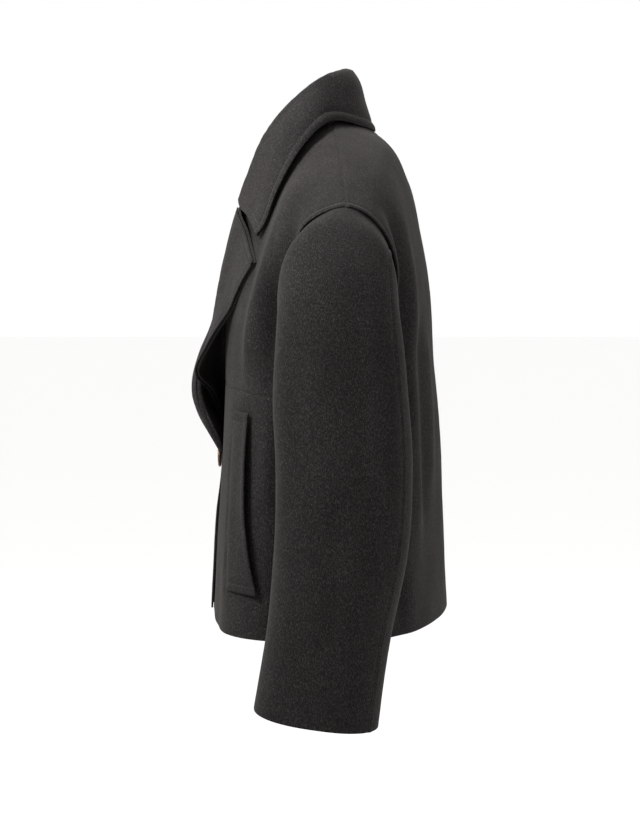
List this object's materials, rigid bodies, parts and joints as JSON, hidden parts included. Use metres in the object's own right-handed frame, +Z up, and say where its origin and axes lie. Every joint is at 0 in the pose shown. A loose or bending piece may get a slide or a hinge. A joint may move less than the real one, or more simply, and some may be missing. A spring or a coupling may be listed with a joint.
{
  "type": "cropped wool coat",
  "caption": "Hollow worn form of a boxy hip-length coat with a big turned collar, notched lapels, an overlapping buttoned front, hanging sleeves and slanted welt pockets.",
  "frame": {"origin": "between the shoulders at the nape, at the height where the collar is sewn on, where the wearer carries the coat", "axes": "+X is the wearer's left, -Y is the front, +Z is up"},
  "size_m": [0.712, 0.2954, 0.6935],
  "materials": {
    "wool": "dark charcoal felted wool with a pale heather speckle, matt",
    "horn": "brown horn, satin"
  },
  "bodies": {
    "root": {"back": "wool", "button_over": "horn", "button_twin": "horn", "collar": "wool", "left_front_lower": "wool", "left_front_upper": "wool", "left_lapel_facing": "wool", "left_pocket_welt": "wool", "left_sleeve_top": "wool", "left_sleeve_top_forearm": "wool", "left_sleeve_under": "wool", "left_sleeve_under_forearm": "wool", "right_front_lower": "wool", "right_front_upper": "wool", "right_lapel_facing": "wool", "right_pocket_welt": "wool", "right_sleeve_top": "wool", "right_sleeve_top_forearm": "wool", "right_sleeve_under": "wool", "right_sleeve_under_forearm": "wool"}
  },
  "joints": []
}
